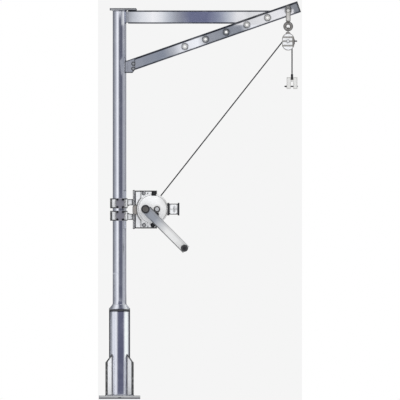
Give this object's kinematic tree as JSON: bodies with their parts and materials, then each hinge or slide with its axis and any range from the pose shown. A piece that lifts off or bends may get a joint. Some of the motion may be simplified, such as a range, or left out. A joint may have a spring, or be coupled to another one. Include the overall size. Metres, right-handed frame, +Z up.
{
  "type": "pillar jib crane with hand winch",
  "caption": "Slewing mast in a gusseted base socket, inclined boom under a tie bar, rope block at the tip and a geared hand winch clamped to the mast.",
  "frame": {"origin": "centre of the base plate's underside, on the mast's slewing axis", "axes": "+Z up along the mast, +X along the boom, -Y the side of the winch crank"},
  "size_m": [1.2194, 0.381, 2.3982],
  "materials": {
    "galvanised_steel": "satin blue-grey zinc-rich coat over galvanised steel",
    "light_plate": "satin light grey coat",
    "nylon": "matt, moulded",
    "zinc_plated": "bright zinc plate, satin",
    "cover_paint": "smooth light grey enamel",
    "crank_steel": "brushed along the arm",
    "black_oxide": "blackened, oiled",
    "grip_plastic": "matt black, moulded",
    "machined_steel": "turned, oiled",
    "brown_primer": "matt brown-grey primer",
    "wire_rope": "greased strands"
  },
  "bodies": {
    "pedestal": {"base_plate": "galvanised_steel", "gusset_front_left": "light_plate", "gusset_front_right": "light_plate", "gusset_back_left": "light_plate", "gusset_back_right": "light_plate", "socket_tube": "galvanised_steel", "bottom_bush": "nylon", "top_bush": "nylon"},
    "mast": {"mast_tube": "galvanised_steel", "rain_collar": "galvanised_steel", "cap_plate": "galvanised_steel", "top_bar": "galvanised_steel", "boom_bracket": "galvanised_steel", "bracket_bolts": "zinc_plated", "boom": "galvanised_steel", "boom_bushes": "zinc_plated", "boom_end_cap": "nylon", "hanger_stirrup": "zinc_plated", "hanger_pin": "zinc_plated", "eye_bolt": "zinc_plated", "block_eye": "zinc_plated", "block_front": "zinc_plated", "block_back": "zinc_plated", "block_ribs": "galvanised_steel", "block_side": "black_oxide", "block_axle": "zinc_plated", "clamp_upper": "light_plate", "clamp_lower": "light_plate", "clamp_jaws": "galvanised_steel", "clamp_bolts": "black_oxide", "winch_back_plate": "light_plate", "winch_side_front": "light_plate", "winch_side_back": "light_plate", "winch_stiffeners": "light_plate", "winch_spacers": "black_oxide", "gear_cover": "cover_paint", "cover_bolts": "black_oxide", "side_box": "cover_paint", "side_box_ends": "black_oxide", "frame_pads": "brown_primer", "pawl": "black_oxide", "rope_run": "wire_rope"},
    "crank": {"crank_shaft": "black_oxide", "pinion": "machined_steel", "crank_arm": "crank_steel", "crank_hub": "black_oxide", "grip_spindle": "black_oxide"},
    "grip": {"crank_grip": "grip_plastic"},
    "drum": {"drum": "machined_steel", "drum_gear": "machined_steel", "ratchet": "zinc_plated", "rope_windings": "wire_rope"},
    "sheave": {"sheave": "machined_steel"},
    "hook": {"rope_fall": "wire_rope", "rope_ferrule": "black_oxide", "clevis": "zinc_plated", "clevis_pin": "black_oxide"}
  },
  "joints": [
    {"name": "mast_slew", "type": "hinge", "parent": "pedestal", "child": "mast", "pos_m": [0, 0, 0], "axis": [0, 0, 1], "continuous": true},
    {"name": "crank_turn", "type": "hinge", "parent": "mast", "child": "crank", "pos_m": [0.156, 0, 1.144], "axis": [0, 1, 0], "range_deg": [-11700, 900]},
    {"name": "grip_spin", "type": "hinge", "parent": "crank", "child": "grip", "pos_m": [0.39147, -0.15, 0.90853], "axis": [0, 1, 0], "continuous": true},
    {"name": "drum_turn", "type": "hinge", "parent": "mast", "child": "drum", "pos_m": [0.226, 0, 1.144], "axis": [0, 1, 0], "range_deg": [-225.5, 2925.5]},
    {"name": "sheave_turn", "type": "hinge", "parent": "mast", "child": "sheave", "pos_m": [1.01578, 0, 2.157], "axis": [0, 1, 0], "range_deg": [-299.4, 3892.2]},
    {"name": "hook_travel", "type": "slide", "parent": "mast", "child": "hook", "axis": [0, 0, 1], "range_m": [-1.6304, 0.1255], "deforming": ["rope_fall"]}
  ],
  "couplings": [
    {"joint": "drum_turn", "follows": "crank_turn", "ratio": -0.25},
    {"joint": "sheave_turn", "follows": "crank_turn", "ratio": -0.33267},
    {"joint": "hook_travel", "follows": "crank_turn", "m_per_rad": 0.007984}
  ]
}
